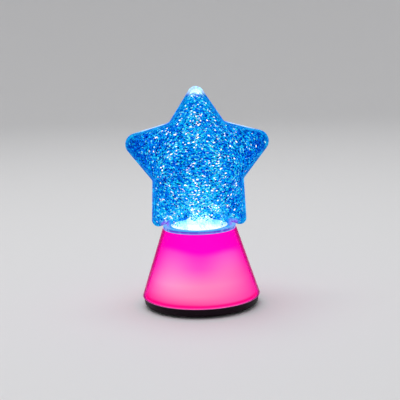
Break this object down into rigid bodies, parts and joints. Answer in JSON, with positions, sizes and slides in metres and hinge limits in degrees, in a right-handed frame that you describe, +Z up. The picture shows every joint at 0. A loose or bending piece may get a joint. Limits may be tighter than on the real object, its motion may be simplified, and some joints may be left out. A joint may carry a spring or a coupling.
{
  "type": "glitter lamp",
  "caption": "Battery glitter lamp: a clear star bottle of stirred glitter liquid on a lit frosted cone, with a dark base, underside switch and battery door.",
  "frame": {"origin": "on the lamp's axis, on the surface that the feet stand on", "axes": "+Z up along the lamp's axis, +X to the right across the star, the star's front face looks along -Y"},
  "size_m": [0.1034, 0.0864, 0.16],
  "materials": {
    "clear_bottle": "clear moulded plastic",
    "liquid": "blue-lit water with glitter flakes",
    "flake_foil": "metallised film flakes",
    "clear_collar": "clear moulded plastic",
    "clear_stopper": "clear plastic lit from below",
    "clear_cone": "clear moulded plastic",
    "frosted_cone": "frosted white plastic lit pink from inside",
    "rubber": "matt rubber",
    "steel": "bright steel",
    "motor_metal": "plated can",
    "magnet": "nickel-plated magnet",
    "white_plastic": "white moulded plastic",
    "cream_plastic": "cream moulded plastic",
    "black_plastic": "black satin plastic",
    "switch_plastic": "black moulded plastic",
    "white_board": "white circuit board",
    "green_board": "green circuit board",
    "white_led": "light package",
    "pink_led": "light package",
    "cell_sleeve": "plain grey sleeve",
    "contact_metal": "plated spring strip",
    "wire": "insulated wire"
  },
  "bodies": {
    "housing": {"bottle_front": "clear_bottle", "bottle_rear": "clear_bottle", "glitter_liquid": "liquid", "glitter_flakes": "flake_foil", "neck_collar": "clear_collar", "stopper": "clear_stopper", "stopper_seal": "rubber", "stopper_screws": "steel", "pivot_pin": "steel", "cone_shell": "clear_cone", "cone_diffuser": "frosted_cone", "deck": "white_plastic", "deck_screws": "steel", "star_light_board": "white_board", "star_leds": "white_led", "motor_can": "motor_metal", "motor_end_cap": "cream_plastic", "motor_screws": "steel", "base_tub": "black_plastic", "base_screws": "steel", "control_board": "green_board", "control_chip": "black_plastic", "base_leds": "pink_led", "battery_1": "cell_sleeve", "battery_2": "cell_sleeve", "battery_3": "cell_sleeve", "spring_contacts": "contact_metal", "plate_contacts": "contact_metal", "switch_body": "switch_plastic", "rubber_feet": "rubber", "motor_leads": "wire", "led_leads": "wire", "switch_leads": "wire"},
    "drive_rotor": {"motor_shaft": "steel", "magnet_carrier": "black_plastic", "drive_magnets": "magnet"},
    "stirrer": {"impeller": "white_plastic", "impeller_magnets": "magnet"},
    "door": {"battery_door": "black_plastic"},
    "knob": {"switch_knob": "switch_plastic"}
  },
  "joints": [
    {"name": "drive_spin", "type": "hinge", "parent": "housing", "child": "drive_rotor", "pos_m": [0, 0, 0.05], "axis": [0, 0, 1], "continuous": true},
    {"name": "impeller_spin", "type": "hinge", "parent": "housing", "child": "stirrer", "pos_m": [0, 0, 0.064], "axis": [0, 0, 1], "continuous": true},
    {"name": "door_hinge", "type": "hinge", "parent": "housing", "child": "door", "pos_m": [-0.0234, 0, 0.0025], "axis": [0, 1, 0], "range_deg": [0, 95]},
    {"name": "switch_slide", "type": "slide", "parent": "housing", "child": "knob", "axis": [1, 0, 0], "range_m": [0, 0.004]}
  ],
  "couplings": [
    {"joint": "impeller_spin", "follows": "drive_spin", "ratio": 1}
  ]
}
